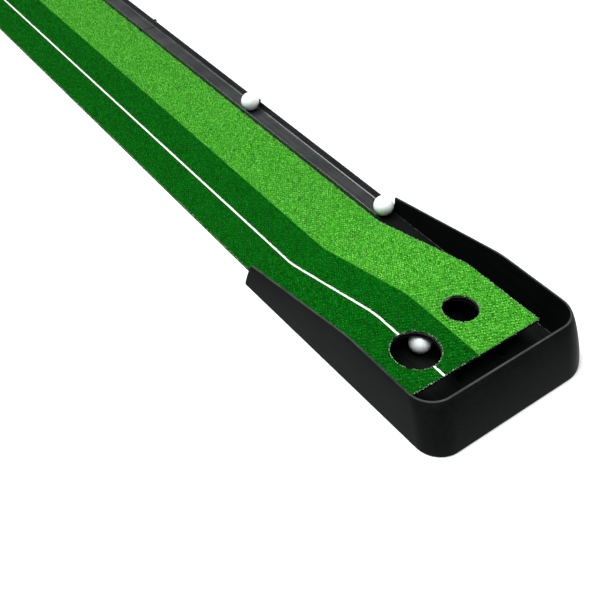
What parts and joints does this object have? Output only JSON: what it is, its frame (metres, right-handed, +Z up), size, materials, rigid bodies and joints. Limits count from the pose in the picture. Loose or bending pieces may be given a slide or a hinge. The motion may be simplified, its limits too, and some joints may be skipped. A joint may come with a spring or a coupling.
{
  "type": "practice putting mat",
  "caption": "Long two-speed putting mat with a ramped cup end in a black moulded tray and a side channel that rolls golf balls back to the player.",
  "frame": {"origin": "middle of the overall footprint, on the floor", "axes": "+X from the player's end towards the holes, +Y towards the ball-return channel, +Z up"},
  "size_m": [3.0378, 0.3883, 0.09],
  "materials": {
    "tray_plastic": "black moulded plastic, fine satin texture",
    "channel_plastic": "dark grey extruded plastic, satin",
    "screw_steel": "zinc plated",
    "foot_rubber": "black rubber",
    "adhesive_film": "double-sided adhesive film",
    "turf_latex": "dark latex backing with scrim",
    "fast_turf": "short dark green pile",
    "slow_turf": "longer light green pile",
    "white_yarn": "white pile yarn",
    "ball_cover": "white dimpled cover with clear coat"
  },
  "bodies": {
    "mat": {"ramp_tray": "tray_plastic", "ramp_deck": "tray_plastic", "deck_screws": "screw_steel", "rubber_feet": "foot_rubber", "turf_fixing_strips": "adhesive_film", "turf_backing": "turf_latex", "fast_lane_pile": "fast_turf", "aim_line": "white_yarn", "slow_lane_pile": "slow_turf", "track_segment_1": "channel_plastic", "track_segment_2": "channel_plastic", "track_segment_3": "channel_plastic", "track_segment_4": "channel_plastic", "track_segment_5": "channel_plastic", "track_end_stop": "channel_plastic"},
    "channel_ball_front": {"golf_ball_1": "ball_cover"},
    "channel_ball_outlet": {"golf_ball_2": "ball_cover"},
    "cup_ball": {"golf_ball_3": "ball_cover"}
  },
  "joints": [
    {"name": "front_ball_roll", "type": "slide", "parent": "mat", "child": "channel_ball_front", "axis": [1, 0, 0], "range_m": [-1.9607, 0.226]},
    {"name": "outlet_ball_roll", "type": "slide", "parent": "mat", "child": "channel_ball_outlet", "axis": [1, 0, 0], "range_m": [-0.226, 0.27]},
    {"name": "cup_ball_roll", "type": "slide", "parent": "mat", "child": "cup_ball", "axis": [0, 0.9996, -0.03], "range_m": [-0.058, 0.2026]}
  ]
}
